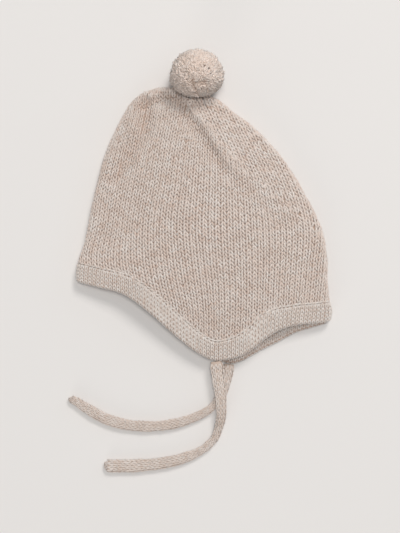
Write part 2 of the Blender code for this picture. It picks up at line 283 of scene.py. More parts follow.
def mesh_piece(name, points, faces, corners, crest=None, materials=()):
    """A mesh object from points and faces, with its strand map and how far each point stands out."""
    mesh = bpy.data.meshes.new(name)
    mesh.from_pydata([Vector(p) for p in points], [], faces)
    layer = mesh.uv_layers.new(name="strand")
    layer.data.foreach_set("uv", np.array(corners, np.float32).ravel())
    values = np.ones(len(points)) if crest is None else crest
    mesh.attributes.new("crest", "FLOAT", "POINT").data.foreach_set("value", np.asarray(values, np.float32))
    work = bmesh.new()
    work.from_mesh(mesh)
    bmesh.ops.recalc_face_normals(work, faces=work.faces)
    work.to_mesh(mesh)
    work.free()
    for material in materials:
        mesh.materials.append(material)
    mesh.shade_smooth()
    return put_in_scene(name, mesh)


# %% Make the stitch
LEG = (
    # across, up, out, radius
    (0.10, -0.62, -0.10, 0.132),
    (0.165, -0.20, 0.05, 0.185),
    (0.285, 0.26, 0.05, 0.190),
    (0.386, 0.80, -0.07, 0.150),
)
BAND_LEG = (
    # across, up, out, radius
    (0.10, -0.58, -0.14, 0.140),
    (0.17, -0.18, 0.04, 0.190),
    (0.28, 0.28, 0.05, 0.190),
    (0.36, 0.72, -0.12, 0.140),
)
LEG_SIDES = 5
LEG_FLATNESS = 0.85


def stitch_shape(name, leg):
    """Both legs of a stitch as one mesh. crest is how far each point stands out, from 0 to 1."""
    points, faces, corners = [], [], []
    for side in (-1, 1):
        line = [(side * across, up, out) for across, up, out, radius in leg]
        more_points, more_faces, more_corners = swept(line, [row[3] for row in leg], LEG_SIDES, LEG_FLATNESS)
        faces += [tuple(len(points) + i for i in face) for face in more_faces]
        points += more_points
        corners += more_corners
    # The yarn material paints shade on the low points by this crest.
    height = np.array(points)[:, 2]
    crest = (height - height.min()) / (height.max() - height.min())
    return mesh_piece(name, points, faces, corners, crest)


stitch = stitch_shape("stitch", LEG)
band_stitch = stitch_shape("band_stitch", BAND_LEG)
print("one stitch has", sum(len(p.vertices) - 2 for p in stitch.data.polygons), "triangles")

# %% [markdown]
# ## The tree that repeats a shape
# Every row of loops here is made the same way. A mesh of loose points carries where each loop goes, which way
# is out, which way the knitting climbs, how big it is and its tone. The tree puts the shape on each point,
# turns it by those two directions, varies it a little from a fixed seed, and ends as one real mesh.

# %% Build the repeating tree
TONE = (0.5, 0.28)  # the middle and the spread of the copies' tones
INPUTS = (
    # name, kind of socket, value when none is given
    ("Points", "Geometry", None),
    ("Shape", "Object", None),
    ("Size", "Float", 1.0),
    ("Unevenness", "Float", 0.06),
    ("Seed", "Int", 4),
    ("Yarn", "Material", None),
)
VECTORS = ("outward", "climb", "spread")


def repeating_tree():
    tree = bpy.data.node_groups.new("repeat_on_points", "GeometryNodeTree")
    for name, kind, value in INPUTS:
        socket = tree.interface.new_socket(name, in_out="INPUT", socket_type="NodeSocket" + kind)
        if value is not None:
            socket.default_value = value
    tree.interface.new_socket("Geometry", in_out="OUTPUT", socket_type="NodeSocketGeometry")
    start = tree.nodes.new("NodeGroupInput").outputs
    dots = add_node(tree, "GeometryNodeMeshToPoints", Mesh=start["Points"])
    shape = add_node(tree, "GeometryNodeObjectInfo", Object=start["Shape"])
    read = {}
    for name in VECTORS:
        node = add_node(tree, "GeometryNodeInputNamedAttribute", data_type="FLOAT_VECTOR", Name=name)
        read[name] = node.outputs["Attribute"]
    low = add_node(tree, "ShaderNodeMath", 0, start["Unevenness"], operation="SUBTRACT")
    varied = []
    for shift in (0, 11, 23):
        seed = add_node(tree, "ShaderNodeMath", start["Seed"], shift, operation="ADD")
        vary = add_node(tree, "FunctionNodeRandomValue", data_type="FLOAT", Seed=seed.outputs[0])
        fill(tree, vary.inputs[2], low.outputs[0])
        fill(tree, vary.inputs[3], start["Unevenness"])
        varied.append(vary.outputs[1])
    lean = add_node(tree, "ShaderNodeCombineXYZ", *varied).outputs[0]
    out = add_node(tree, "ShaderNodeVectorMath", read["outward"], lean, operation="ADD").outputs[0]
    axes = {"primary_axis": "Z", "secondary_axis": "Y"}
    turn = add_node(tree, "FunctionNodeAxesToRotation", out, read["climb"], **axes).outputs[0]
    grow = add_node(tree, "ShaderNodeMath", start["Size"], varied[0], operation="ADD").outputs[0]
    scale = add_node(tree, "ShaderNodeVectorMath", read["spread"], operation="SCALE", Scale=grow).outputs[0]
    put = add_node(tree, "GeometryNodeInstanceOnPoints", Points=dots.outputs[0], Rotation=turn, Scale=scale)
    fill(tree, put.inputs["Instance"], shape.outputs["Geometry"])
    real = add_node(tree, "GeometryNodeRealizeInstances", put.outputs[0])
    finish = add_node(tree, "GeometryNodeSetMaterial", Geometry=real.outputs[0], Material=start["Yarn"])
    add_node(tree, "NodeGroupOutput", finish.outputs[0])
    return tree


repeat_tree = repeating_tree()
rng = np.random.default_rng(2)


def repeat(name, shape, places, outward_to, climb, spread, yarn, tone=None, unevenness=0.06, seed=4):
    """One mesh of the shape at every place. spread is each copy's size across, up and out, in metres."""
    mesh = bpy.data.meshes.new(name)
    mesh.from_pydata([Vector(p) for p in places], [], [])
    if tone is None:
        tone = np.clip(rng.normal(*TONE, len(places)), 0, 1)
    for key, values in zip(VECTORS, (outward_to, climb, spread)):
        layer = mesh.attributes.new(key, "FLOAT_VECTOR", "POINT")
        layer.data.foreach_set("vector", np.asarray(values, np.float32).ravel())
    mesh.attributes.new("tone", "FLOAT", "POINT").data.foreach_set("value", np.asarray(tone, np.float32))
    made = put_in_scene(name, mesh)
    modifier = made.modifiers.new("repeat", "NODES")
    modifier.node_group = repeat_tree
    sockets = {s.name: s.identifier for s in repeat_tree.interface.items_tree if s.in_out == "INPUT"}
    for label, value in (("Shape", shape), ("Yarn", yarn), ("Unevenness", unevenness), ("Seed", seed)):
        modifier[sockets[label]] = value
    graph = bpy.context.evaluated_depsgraph_get()
    plain = bpy.data.meshes.new_from_object(
        made.evaluated_get(graph), preserve_all_data_layers=True, depsgraph=graph
    )
    made.modifiers.clear()
    made.data = plain
    plain.name = name
    for extra in VECTORS:
        if extra in plain.attributes:
            plain.attributes.remove(plain.attributes[extra])
    print(name, len(places), "copies,", sum(len(p.vertices) - 2 for p in plain.polygons), "triangles")
    return made


print("tree", repeat_tree.name, "with", len(repeat_tree.nodes), "nodes")

# %% [markdown]
# ## Ties
# Each tie is a knitted cord: a small tube of stocking stitch that flattens as it lies. It is modelled as a
# soft core along the route on the surface, with wales of stitches all round it. The routes are those of the
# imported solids. The photograph shows nearly all of both ties, so their lengths and widths come from it.

# %% Draw the ties' routes
TIE_NEAR = (
    # x, y, z of the middle and the share of the usual width
    (0.0090, -0.1138, 0.0086, 1.05),
    (0.0097, -0.1194, 0.0080, 1.05),
    (0.0108, -0.1276, 0.0079, 1.00),
    (0.0120, -0.1358, 0.0079, 0.95),
    (0.0128, -0.1447, 0.0079, 0.90),
    (0.0128, -0.1530, 0.0072, 0.85),
    (0.0113, -0.1622, 0.0044, 0.76),
    (0.0078, -0.1714, 0.0026, 0.70),
    (-0.0005, -0.1797, 0.0026, 0.74),
    (-0.0128, -0.1857, 0.0026, 0.86),
    (-0.0263, -0.1894, 0.0026, 0.94),
    (-0.0397, -0.1913, 0.0026, 0.98),
    (-0.0532, -0.1924, 0.0026, 1.02),
    (-0.0666, -0.1925, 0.0026, 1.04),
    (-0.0745, -0.1921, 0.0026, 1.02),
)
TIE_FAR = (
    # x, y, z of the middle and the share of the usual width
    (0.0186, -0.1163, 0.0026, 0.95),
    (0.0177, -0.1228, 0.0026, 0.90),
    (0.0164, -0.1288, 0.0026, 0.85),
    (0.0144, -0.1363, 0.0026, 0.80),
    (0.0106, -0.1430, 0.0026, 0.76),
    (0.0052, -0.1490, 0.0026, 0.72),
    (-0.0047, -0.1550, 0.0026, 0.76),
    (-0.0219, -0.1607, 0.0026, 0.84),
    (-0.0391, -0.1628, 0.0026, 0.86),
    (-0.0562, -0.1619, 0.0026, 0.88),
    (-0.0734, -0.1572, 0.0026, 0.90),
    (-0.0863, -0.1502, 0.0026, 0.86),
    (-0.0951, -0.1445, 0.0026, 0.76),
    (-0.1011, -0.1420, 0.0026, 0.68),
)
TIE_WIDTH = 0.0098
TIE_THICKNESS = 0.005
TIE_WALES = 7
TIE_ROW = 0.0034
TIE_END = 0.0045  # how much of a free end rounds off
LOOP_HEIGHT = 0.0009  # how far the stitches stand out of a core
CORE_STEP = 0.0012  # from one ring of a core to the next
CORE_SIDES = 16
CORE_MAP = (0.4, 0.5)  # stitches round for each side and rows along for each ring
CLIMB_UNEVEN = 0.08
UP = np.array((0.0, 0.0, 1.0))


def smooth_read(places, values, at):
    """Smooth curve through (places, values), read at each place in at."""
    places = np.asarray(places, float)
    values = np.asarray(values, float)
    slopes = np.gradient(values, places)
    at = np.clip(at, places[0], places[-1])
    left = np.clip(np.searchsorted(places, at) - 1, 0, len(places) - 2)
    step = places[left + 1] - places[left]
    t = (at - places[left]) / step
    start = (1 + 2 * t) * (1 - t) ** 2 * values[left] + t * (1 - t) ** 2 * step * slopes[left]
    end = t**2 * (3 - 2 * t) * values[left + 1] - t**2 * (1 - t) * step * slopes[left + 1]
    return start + end


def unit(vectors):
    return vectors / np.maximum(np.linalg.norm(vectors, axis=-1, keepdims=True), 1e-12)


def distance_along(points):
    """How far along the line through them each point lies."""
    return np.concatenate([[0], np.cumsum(np.linalg.norm(np.diff(points, axis=0), axis=1))])


def read_between(at, places, rows):
    """The columns of rows, each read in straight lines between places."""
    return np.stack([np.interp(at, places, column) for column in rows.T], axis=-1)


def smooth_route(route, count):
    """A route's rows, read smoothly at this many even stations."""
    route = np.array(route)
    stations = np.linspace(0, len(route) - 1, count)
    return np.stack([smooth_read(np.arange(len(route)), column, stations) for column in route.T], axis=1)


def even_line(route, step):
    """The rows of a route, read one step apart along it, and the route's length."""
    line = smooth_route(route, 600)
    walked = distance_along(line[:, :3])
    at = np.linspace(0, walked[-1], max(2, round(walked[-1] / step) + 1))
    return read_between(at, walked, line), walked[-1]


def make_tie(name, route, width, seed):
    rows, length = even_line(route, CORE_STEP)
    line, share = rows[:, :3], rows[:, 3]
    walked = np.linspace(0, length, len(line))
    ahead = unit(np.gradient(line, axis=0))
    side = unit(np.cross(ahead, UP))
    closing = np.clip(1 - (length - walked) / TIE_END, 0, 0.998)
    rounding = np.sqrt(1 - closing**2)
    lump = 1 + 0.03 * np.sin(walked / 0.0041 + seed) * np.sin(walked / 0.016)
    half_width = (width / 2 * share * lump - LOOP_HEIGHT) * rounding
    half_height = (TIE_THICKNESS / 2 - LOOP_HEIGHT * 0.8) * rounding
    angles = 2 * math.pi * np.arange(CORE_SIDES) / CORE_SIDES
    across = half_width[:, None] * np.cos(angles)
    above = half_height[:, None] * np.sin(angles)
    points = line[:, None] + side[:, None] * across[..., None] + UP * above[..., None]
    faces, corners = tube(len(line), CORE_SIDES, *CORE_MAP)
    core = mesh_piece(name + "_core", points.reshape(-1, 3), faces, corners, materials=[tie_cloth])

    at = length - (np.arange(int(length / TIE_ROW))[::-1] + 0.35) * TIE_ROW
    wide, high, end = read_between(at, walked, np.stack([half_width, half_height, closing], axis=1)).T
    middle, row_ahead, row_side = [read_between(at, walked, rows) for rows in (line, ahead, side)]
    turns = np.linspace(0, 2 * math.pi, 721)
    arc = distance_along(np.stack([np.cos(turns) * wide.mean(), np.sin(turns) * high.mean()], axis=1))
    around = arc[-1] / TIE_WALES * wide / wide.mean()
    size = np.stack([around * 1.12, TIE_ROW * (1 - 0.3 * end), np.maximum(around, 0.0020)], axis=1)
    wide, high, end = wide[:, None], high[:, None], end[:, None]
    places, outs, climbs = [], [], []
    for angle in np.interp((np.arange(TIE_WALES) + 0.5) / TIE_WALES * arc[-1], arc, turns):
        places.append(middle + row_side * wide * math.cos(angle) + UP * high * math.sin(angle))
        out = unit(row_side * math.cos(angle) / wide + UP * math.sin(angle) / high)
        outs.append(out * np.sqrt(1 - end**2) + row_ahead * end)
        climbs.append(row_ahead + rng.normal(0, CLIMB_UNEVEN, row_ahead.shape))
    loops = repeat(
        name + "_stitches",
        stitch,
        np.concatenate(places),
        unit(np.concatenate(outs)),
        np.concatenate(climbs),
        np.tile(size, (TIE_WALES, 1)),
        tie_yarn,
        seed=seed,
        unevenness=0.1,
    )
    return core, loops, line, length


ties = {}
for name, route, seed in (("tie_near", TIE_NEAR, 3), ("tie_far", TIE_FAR, 8)):
    core, loops, line, length = make_tie(name, route, TIE_WIDTH, seed)
    for piece in (core, loops):
        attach(piece, "root")
        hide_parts(name)
    ties[name] = length
print("tie lengths in mm", {name: round(length * 1000, 1) for name, length in ties.items()})

# %% [markdown]
# ## The shape of the fabric
# The bonnet's shape comes from the same named sizes and courses as its solid. Its soft folds follow the
# photograph more closely: a crease with a trough beside it, a valley, and a small arch under the pompom. A
# place on the fabric is found by how far around it is and how far down, so everything sewn or knitted on it
# can ask where it lies.

# %% Sizes and courses
FLAT_WIDTH = 0.1905  # fold to fold at the mouth
CROWN_DEPTH = 0.1564  # pompom's seat to the line across the mouth
LOFT = 0.027  # greatest height of the near layer over the surface
DOME_SHAPE = 1.2  # above 1, the near layer leaves its folds flat and rises to a rounder top
FOLD_RADIUS = 0.0045  # outer radius of the fabric where it folds
WALL = 0.0025  # stocking stitch
BAND_WALL = 0.0036  # folded edge band
BAND_WIDTH = 0.014
BAND_PROUD = 0.0007  # how far the band stands out from the crown
CREASE_HEIGHT = 0.0040
CREASE_STEP = 0.0013  # width of its steep side
CREASE_TAIL = 0.018  # width of its gentle side
TROUGH_DEPTH = 0.0026
TROUGH_WIDTH = 0.0045
VALLEY_DEPTH = 0.0060
VALLEY_WIDTH = 0.0058
ARCH_DEPTH = 0.0034
ARCH_WIDTH = 0.0036
ROLL_SHARE = 0.30  # height of the fabric's roll outside a valley or an arch, as a share of its depth
POMPOM_DIAMETER = 0.0415
POMPOM_OUT = 0.0088  # its middle, from the edge of the crown
POMPOM_SQUASH = 0.72  # share of the radius kept on the side that presses on the crown
POMPOM_PRESS = 0.0006  # how far its own weight flattens it on the surface
SEAT = np.array((-0.005324, 0.087085, 0.0))  # the pompom's seat in the frame

# Shares of CROWN_DEPTH: down, left_down and right_down. Shares of FLAT_WIDTH: left_out and right_out.
# All are from the pompom's seat. height is a share of LOFT.
COURSES = {
    #           down   left_out left_down right_out right_down height
    "seat": (0.000, 0.000, 0.000, 0.000, 0.000, 0.33),
    "gather": (0.022, 0.059, -0.016, 0.043, 0.017, 0.37),
    "top": (0.050, 0.122, -0.023, 0.083, 0.036, 0.45),
    "shoulder": (0.098, 0.185, -0.010, 0.142, 0.094, 0.60),
    "shoulder_low": (0.156, 0.244, 0.031, 0.207, 0.151, 0.72),
    "crown_high": (0.236, 0.293, 0.115, 0.280, 0.237, 0.85),
    "crown_upper": (0.319, 0.331, 0.209, 0.346, 0.333, 0.93),
    "crown_middle": (0.415, 0.364, 0.305, 0.409, 0.456, 0.98),
    "crown_full": (0.513, 0.387, 0.410, 0.463, 0.578, 1.00),
    "crown_lower": (0.607, 0.407, 0.511, 0.496, 0.681, 0.98),
    "side_high": (0.707, 0.423, 0.609, 0.511, 0.796, 0.93),
    "side_low": (0.811, 0.441, 0.719, 0.513, 0.902, 0.86),
    "band_top": (0.904, 0.467, 0.813, 0.520, 0.998, 0.79),
    "band_middle": (0.952, 0.471, 0.859, 0.527, 1.047, 0.75),
    "mouth": (1.000, 0.472, 0.906, 0.523, 1.094, 0.71),
    "flap": (1.150, 0.474, 1.056, 0.521, 1.244, 0.53),
    "flap_tip": (1.300, 0.475, 1.206, 0.521, 1.394, 0.37),
}
COURSE_COLUMNS = ("down", "left_out", "left_down", "right_out", "right_down", "height")
# The rim's drop below the line across the mouth, as shares of CROWN_DEPTH, at each share of the width
RIM = (
    # across, near_drop, far_drop
    (0.00, 0.000, 0.000),
    (0.10, 0.012, 0.002),
    (0.20, 0.029, 0.014),
    (0.25, 0.059, 0.028),
    (0.31, 0.108, 0.062),
    (0.41, 0.198, 0.150),
    (0.48, 0.250, 0.212),
    (0.54, 0.273, 0.254),
    (0.61, 0.253, 0.278),
    (0.65, 0.228, 0.257),
    (0.69, 0.192, 0.222),
    (0.735, 0.136, 0.182),
    (0.785, 0.087, 0.142),
    (0.86, 0.044, 0.080),
    (0.93, 0.022, 0.040),
    (1.00, 0.000, 0.000),
)
RIM_COLUMNS = ("across", "near_drop", "far_drop")
# Routes of the folds: shares of the width and of CROWN_DEPTH, and of the fold's full height
CREASE = (
    # across, down, height
    (0.400, 0.078, 0.3),
    (0.459, 0.090, 0.8),
    (0.561, 0.150, 1.0),
    (0.602, 0.219, 1.0),
    (0.629, 0.287, 1.0),
    (0.649, 0.340, 0.7),
    (0.689, 0.380, 0.35),
    (0.744, 0.417, 0.0),
)
VALLEY = (
    # across, down, height
    (0.030, 0.117, 0.1),
    (0.080, 0.150, 0.8),
    (0.123, 0.184, 1.0),
    (0.153, 0.228, 1.0),
    (0.160, 0.280, 0.7),
    (0.125, 0.345, 0.6),
    (0.113, 0.412, 0.7),
    (0.085, 0.484, 0.5),
    (0.055, 0.548, 0.0),
)
ARCH = (
    # across, down, height
    (0.130, 0.150, 0.5),
    (0.138, 0.123, 0.8),
    (0.168, 0.090, 0.8),
    (0.281, 0.067, 0.7),
    (0.430, 0.083, 0.8),
)
print("fabric", round(FLAT_WIDTH * 1000, 1), "mm wide and", round(CROWN_DEPTH * 1000, 1), "mm deep")


# %% Find a place on the fabric
def course(column, down):
    rows = np.array(list(COURSES.values()))
    return smooth_read(rows[:, 0], rows[:, COURSE_COLUMNS.index(column)], down)


def rim(column, across):
    rows = np.array(RIM)
    return smooth_read(rows[:, 0], rows[:, RIM_COLUMNS.index(column)], across)


def across_of(around):
    return np.where(around <= 1, around, 2 - around)


def rim_down(around):
    across = across_of(around)
    return 1 + np.where(around <= 1, rim("near_drop", across), rim("far_drop", across))


def inside_rim(around, distance):
    """The share of the way down that lies this distance inside the rim, measured square to it."""
    step = 0.01
    ahead = rim_down(np.mod(around + step, 2))
    behind = rim_down(np.mod(around - step, 2))
    slope = (ahead - behind) * CROWN_DEPTH / (2 * step * FLAT_WIDTH)
    return rim_down(around) - distance / CROWN_DEPTH * np.sqrt(1 + slope**2)


def flat_place(across, down):
    left_x = -course("left_out", down) * FLAT_WIDTH
    right_x = course("right_out", down) * FLAT_WIDTH
    left_y = -course("left_down", down) * CROWN_DEPTH
    right_y = -course("right_down", down) * CROWN_DEPTH
    sag = down * CROWN_DEPTH + (left_y + right_y) / 2
    x = left_x + (right_x - left_x) * across
    y = left_y + (right_y - left_y) * across - sag * 4 * across * (1 - across)
    return x, y


def route_distance(route, x, y):
    """Signed distance from a fold's route, and the share of its height at the nearest place."""
    rows = smooth_route(route, 40).T
    line_x, line_y = flat_place(rows[0], rows[1])
    away_x = x[..., None] - line_x
    away_y = y[..., None] - line_y
    nearest = np.argmin(away_x**2 + away_y**2, axis=-1)
    near_x = np.take_along_axis(away_x, nearest[..., None], -1)[..., 0]
    near_y = np.take_along_axis(away_y, nearest[..., None], -1)[..., 0]
    ahead_x = np.gradient(line_x)[nearest]
    ahead_y = np.gradient(line_y)[nearest]
    side = (near_y * ahead_x - near_x * ahead_y) / np.hypot(ahead_x, ahead_y)
    past_end = np.hypot(near_x, near_y) - np.abs(side)
    fade = np.exp(-((past_end / VALLEY_WIDTH) ** 2))
    return side, rows[2][nearest] * fade


def folds(x, y):
    side, share = route_distance(CREASE, x, y)
    rise = 1 / (1 + np.exp(-side / CREASE_STEP))
    fall = np.exp(-np.maximum(side, 0) / CREASE_TAIL)
    trough = TROUGH_DEPTH * np.exp(-(((side + TROUGH_WIDTH) / TROUGH_WIDTH) ** 2))
    height = share * (CREASE_HEIGHT * rise * fall - trough)
    # The fabric rolls up outside each of these: to the left of the valley, and above the arch.
    pairs = ((VALLEY, VALLEY_DEPTH, VALLEY_WIDTH, -1), (ARCH, ARCH_DEPTH, ARCH_WIDTH, 1))
    for route, depth, width, outside in pairs:
        side, share = route_distance(route, x, y)
        roll = ROLL_SHARE * np.exp(-(((outside * side - 1.5 * width) / width) ** 2))
        height = height + depth * share * (roll - np.exp(-((side / width) ** 2)))
    return height


def fabric(around, down):
    """The outer surface of the fabric in the frame, in metres."""
    around, down = np.broadcast_arrays(np.mod(around, 2.0), np.asarray(down, float))
    across = across_of(around)
    left_x, left_y = flat_place(0.0, down)
    right_x, right_y = flat_place(1.0, down)
    width = np.maximum(np.hypot(right_x - left_x, right_y - left_y), 1e-6)
    below_seat = np.clip(down * CROWN_DEPTH / FOLD_RADIUS, 0, 1)
    radius = np.minimum(FOLD_RADIUS * np.sqrt(1 - (1 - below_seat) ** 2), width / 2)
    walk = across * (width + (math.pi - 2) * radius)
    from_fold = np.minimum(walk, width + (math.pi - 2) * radius - walk)
    turn = np.minimum(from_fold / np.maximum(radius, 1e-9), math.pi / 2)
    inward = radius * (1 - np.cos(turn)) + np.maximum(from_fold - radius * math.pi / 2, 0)
    lift = radius * np.sin(turn)
    share = np.where(across <= 0.5, inward / width, 1 - inward / width)
    x, y = flat_place(share, down)
    dome = (4 * share * (1 - share)) ** DOME_SHAPE
    loft = np.maximum(course("height", down) * LOFT - 2 * FOLD_RADIUS, 0)
    near_z = FOLD_RADIUS + lift + dome * loft + folds(x, y) * np.minimum(lift / FOLD_RADIUS, 1) ** 2
    return np.stack([x, y, np.where(around <= 1, near_z, FOLD_RADIUS - lift)], axis=-1) + SEAT


def outward(around, down, step=0.004):
    along = fabric(around + step, down) - fabric(around - step, down)
    fall = fabric(around, down + step) - fabric(around, down - step)
    return unit(np.cross(fall, along))


check = fabric(np.linspace(0, 2, 400)[:, None], np.linspace(0.001, 1, 60)[None, :]).reshape(-1, 3)
print("crown reaches in mm", np.round(check.min(axis=0) * 1000, 1), np.round(check.max(axis=0) * 1000, 1))

# %% [markdown]
# ## The crown's cloth
# The crown is one hollow wall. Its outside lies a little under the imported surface, to leave room for the
# loops that stand on it, and its inside is the purl side of the same knitting.

# %% Make the crown's wall
STITCH_WIDTH = 0.0043
STITCH_ROW = 0.0028
UNDER = 0.0011  # the cloth's outside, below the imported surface
CLOTH_AROUND = 220
CLOTH_RINGS = 70
CLOTH_SPREAD = 1.3  # draws the rings together under the pompom
INNER_START = 8  # first ring of the inner wall
CLOTH_TUCK = 0.002  # how far the cloth goes in under the band


def loop_mesh(name, rings, caps, around, rows, materials, outer_rings):
    """A closed wall from rings of points. caps are two points that close it, or None for a ring of rings.
    The first material is on the outer rings and the second on the rest."""
    count = len(rings[0])
    points = [p for ring in rings for p in ring]
    faces, corners, slots = [], [], []
    pairs = [(i, i + 1) for i in range(len(rings) - 1)]
    if caps is None:
        pairs.append((len(rings) - 1, 0))
    for upper, lower in pairs:
        for i in range(count):
            j = (i + 1) % count
            faces.append((upper * count + i, lower * count + i, lower * count + j, upper * count + j))
            low_row = rows[lower] if lower > upper else rows[upper] + 1
            left, right = around[i], around[i + 1]
            corners += [(left, rows[upper]), (left, low_row), (right, low_row), (right, rows[upper])]
            slots.append(int(upper >= outer_rings))
    if caps is not None:
        points += list(caps)
        last = (len(rings) - 1) * count
        for i in range(count):
            j = (i + 1) % count
            faces.append((len(points) - 2, i, j))
            faces.append((len(points) - 1, last + j, last + i))
            corners += [(around[i], rows[0]), (around[i], rows[0]), (around[i + 1], rows[0])]
            corners += [(around[i], rows[-1]), (around[i + 1], rows[-1]), (around[i], rows[-1])]
            slots += [0, 1]
    made = mesh_piece(name, points, faces, corners, materials=materials)
    made.data.polygons.foreach_set("material_index", slots)
    return made


around = np.linspace(0, 2, CLOTH_AROUND, endpoint=False)
end = inside_rim(around, BAND_WIDTH - CLOTH_TUCK)
outer, inner = [], []
ring_shares = (np.arange(1, CLOTH_RINGS + 1) / CLOTH_RINGS) ** CLOTH_SPREAD
for number, share in enumerate(ring_shares, 1):
    down = end * share
    normal = outward(around, down)
    outer.append(fabric(around, down) - UNDER * normal)
    if number >= INNER_START:
        inner.append(fabric(around, down) - WALL * normal)
steps = list(ring_shares * CROWN_DEPTH / STITCH_ROW)
caps = (np.mean(outer[0], axis=0), np.mean(inner[0], axis=0))
crown_cloth = loop_mesh(
    "crown_cloth",
    outer + inner[::-1],
    caps,
    np.linspace(0, 2 * FLAT_WIDTH / STITCH_WIDTH, CLOTH_AROUND + 1),
    steps + steps[INNER_START - 1:][::-1],
    [under_cloth_painted_shade, purl_side],
    CLOTH_RINGS,
)
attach(crown_cloth, "root")
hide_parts("crown")
print("crown cloth", len(crown_cloth.data.polygons), "faces")

# %% [markdown]
# ## Where the wales run
# A wale is a column of stitches. The photograph's wales fan out from the pompom and draw together again
# towards the ear flap, and right of the soft crease a second family of wales leans along the shoulder.
# Each family is a short table: for a few heights, how far from the seat some of its wales lie. Each wale is
# Each family is a short table: for a few heights, how far from the seat some of its wales lie. Each wale is
# then walked along the surface, one stitch a row, so the stitches keep their real size over the dome. Hand
# knitting is uneven: each wale is a little looser or tighter than the next, and so is each stitch in it.

# %% Lay out the wales
FAN_WALES = (-28, -21, -14, -7, 0, 7, 14, 21)
FAN = (
    # pixels of the plan, from the pompom's seat: up, then across for each wale of FAN_WALES
    (15.0, -101, -67.5, -34.0, -1.0, 23.0, 52.0, 82.0, 112.0),
    (-17.0, -98.0, -68.0, -38.0, -4.5, 20.5, 49.0, 79.0, 109.0),
    (-57.0, -110.0, -77.5, -45.0, -11.0, 22.0, 54.5, 87.0, 119.0),
    (-97.0, -120.5, -86.5, -51.5, -15.5, 23.0, 59.5, 94.5, 129.0),
    (-137.0, -127.5, -92.5, -58.0, -19.5, 23.0, 64.0, 104.0, 144.0),
    (-177.0, -134.0, -98.0, -58.0, -16.5, 25.0, 65.0, 102.5, 140.0),
    (-197.0, -128.5, -91.0, -54.0, -13.5, 26.5, 64.5, 101.0, 138.0),
    (-217.0, -121.5, -85.0, -48.0, -10.0, 27.0, 64.0, 99.5, 135.0),
    (-262.0, -112.0, -77.0, -42.0, -7.5, 26.0, 61.0, 95.0, 130.0),
)
SHOULDER_WALES = (-8, 0, 8, 16)
SHOULDER = (
    # the same columns, for the wales of SHOULDER_WALES
    (15.0, -53.0, -8.0, 36.0, 81.0),
    (3.0, -48.0, -3.0, 41.0, 86.0),
    (-17.0, -39.0, 6.0, 51.0, 96.0),
    (-37.0, -30.0, 15.0, 61.0, 107.0),
    (-57.0, -20.5, 24.5, 71.0, 117.0),
    (-77.0, -11.5, 33.5, 81.0, 128.0),
    (-97.0, -4.0, 42.0, 90.0, 137.0),
    (-117.0, 2.0, 49.0, 97.0, 144.0),
    (-137.0, 5.0, 53.0, 101.0, 148.0),
    (-170.0, 6.0, 54.0, 102.0, 149.0),
)
# Where the first family ends and the second begins
DIVIDE = (
    # up, across
    (15.0, -14.0),
    (-7.0, -12.0),
    (-17.5, -7.0),
    (-32.5, 8.0),
    (-50.0, 20.5),
    (-65.0, 33.0),
    (-80.0, 45.5),
    (-90.0, 55.5),
    (-99.0, 70.0),
    (-114.0, 88.0),
    (-132.0, 108.0),
    (-157.0, 133.0),
    (-300.0, 150.0),
)
PIXEL = 0.00075 * 0.98  # metres of fabric for one of the plan's pixels, at the height where it lies


def wale_lines(wales, table, first, last):
    """Plan places of each wale: arrays of across and up in metres, one row for each wale."""
    table = np.array(table)
    heights = np.arange(table[-1, 0], table[0, 0], 0.5)[::-1]
    places = [smooth_read(table[::-1, 0], table[::-1, i + 1], heights) for i in range(len(wales))]
    numbers = np.arange(first, last, 1.0)
    x = np.stack([smooth_read(wales, row, numbers) for row in np.stack(places, axis=1)])
    return x * PIXEL, np.broadcast_to(heights[:, None] * PIXEL, x.shape)


GRID_ACROSS, GRID_DOWN = np.meshgrid(np.linspace(0, 1, 25), np.linspace(0.004, 1.29, 50), indexing="ij")
GRID_X, GRID_Y = flat_place(GRID_ACROSS, GRID_DOWN)

NUDGE = 1e-4


def find_on_fabric(x, y):
    """The across and down whose flat place is (x, y): the nearest of a grid, then Newton's method."""
    across = np.empty(x.size)
    down = np.empty(x.size)
    flat_x, flat_y = x.ravel(), y.ravel()
    for start in range(0, x.size, 4000):
        part = slice(start, start + 4000)
        away = (flat_x[part, None] - GRID_X.ravel()) ** 2 + (flat_y[part, None] - GRID_Y.ravel()) ** 2
        nearest = np.argmin(away, axis=1)
        across[part] = GRID_ACROSS.ravel()[nearest]
        down[part] = GRID_DOWN.ravel()[nearest]
    for _ in range(7):
        here_x, here_y = flat_place(across, down)
        here_x, here_y = flat_place(across, down)
        right_x, right_y = flat_place(across + NUDGE, down)
        low_x, low_y = flat_place(across, down + NUDGE)
        a, b = (right_x - here_x) / NUDGE, (low_x - here_x) / NUDGE
        c, d = (right_y - here_y) / NUDGE, (low_y - here_y) / NUDGE
        det = a * d - b * c
        det = np.where(np.abs(det) < 1e-7, 1e-7, det)
        miss_x, miss_y = flat_x - here_x, flat_y - here_y
        across = np.clip(across + np.clip((d * miss_x - b * miss_y) / det, -0.1, 0.1), -0.2, 1.2)
        down = np.clip(down + np.clip((a * miss_y - c * miss_x) / det, -0.1, 0.1), 0.001, 1.299)
    here_x, here_y = flat_place(across, down)
    found = (np.hypot(flat_x - here_x, flat_y - here_y) < 2e-4) & (across >= 0) & (across <= 1)
    return across.reshape(x.shape), down.reshape(x.shape), found.reshape(x.shape)


WALE_UNEVEN = 0.012
STITCH_UNEVEN = 0.03
SHOULDER_ROW = 0.0031
STITCH_START = 0.025  # share of the way down where the stitches begin, under the pompom
SEAM = 0.0008  # from the crown's last stitches to the band
NARROWEST, WIDEST, THICKEST = 0.0030, 0.0075, 0.0046
FAMILY_OVERLAP = 0.001
